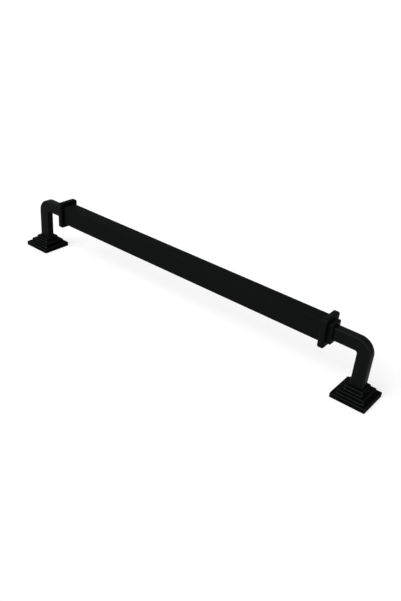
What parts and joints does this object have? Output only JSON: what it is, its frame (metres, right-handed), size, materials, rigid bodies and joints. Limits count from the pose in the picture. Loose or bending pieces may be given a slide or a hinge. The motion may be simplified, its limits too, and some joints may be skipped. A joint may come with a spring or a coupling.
{
  "type": "cabinet pull",
  "caption": "Straight rectangular bar pull, black, with stepped collars, slimmer bent end brackets and stepped square feet for fixing from behind.",
  "frame": {"origin": "on the mounting face, midway between the two fixing screws", "axes": "+X along the grip bar, +Y across the grip bar along the door's face, +Z out of the door's face towards the hand"},
  "size_m": [0.3304, 0.0254, 0.0498],
  "materials": {
    "bar_black": "matte black coating on a drawn bar",
    "casting_black": "matte black coating on machined and bent pieces"
  },
  "bodies": {
    "root": {"grip_bar": "bar_black", "left_collar": "casting_black", "right_collar": "casting_black", "left_bracket": "casting_black", "right_bracket": "casting_black", "left_foot": "casting_black", "right_foot": "casting_black"}
  },
  "joints": []
}
